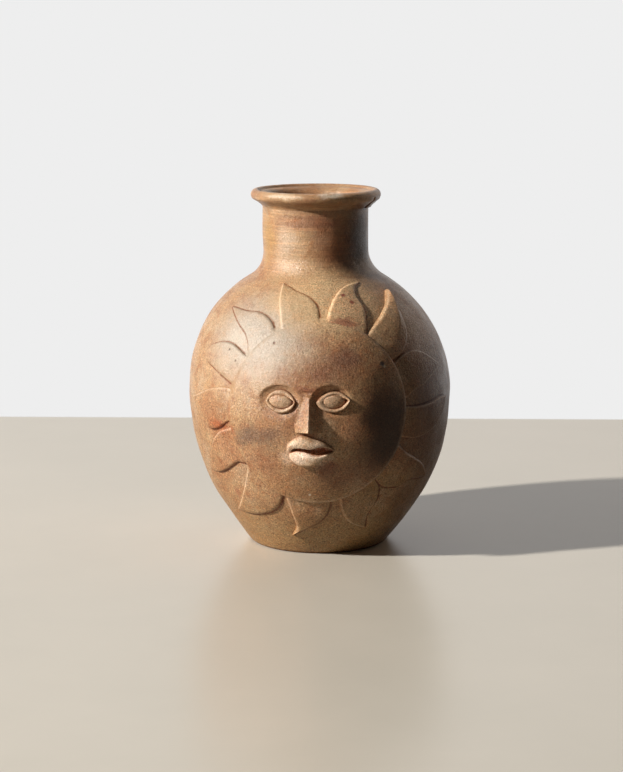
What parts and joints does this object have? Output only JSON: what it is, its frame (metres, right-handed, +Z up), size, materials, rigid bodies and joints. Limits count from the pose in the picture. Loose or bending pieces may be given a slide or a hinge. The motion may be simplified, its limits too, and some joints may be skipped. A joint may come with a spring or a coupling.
{
  "type": "face vase",
  "caption": "Round-bellied terracotta vase with a narrow neck, rolled lip and an applied sun face in low relief on the front; holds water or cut stems.",
  "frame": {"origin": "centre of the flat resting base, on the surface it stands on", "axes": "+Z up along the vase's axis; the middle of the sun disc faces -Y; +X to the viewer's right when facing the sun"},
  "size_m": [0.222, 0.2426, 0.3],
  "materials": {
    "burnished_clay": "burnished, unglazed",
    "smoked_clay": "burnished, smoke-clouded",
    "flame_clay": "burnished, unglazed"
  },
  "bodies": {
    "root": {"vessel_body": "burnished_clay", "neck_collar": "burnished_clay", "lip_coil": "burnished_clay", "sun_disc": "smoked_clay", "flame_01": "flame_clay", "flame_02": "flame_clay", "flame_03": "flame_clay", "flame_04": "flame_clay", "flame_05": "flame_clay", "flame_06": "flame_clay", "flame_07": "flame_clay", "flame_08": "flame_clay", "flame_09": "flame_clay", "flame_10": "flame_clay", "flame_11": "flame_clay", "flame_12": "flame_clay", "flame_13": "flame_clay", "eyelids_left": "smoked_clay", "eyelids_right": "smoked_clay", "eyeball_left": "smoked_clay", "eyeball_right": "smoked_clay", "nose": "smoked_clay", "upper_lip": "smoked_clay", "lower_lip": "smoked_clay"}
  },
  "joints": []
}
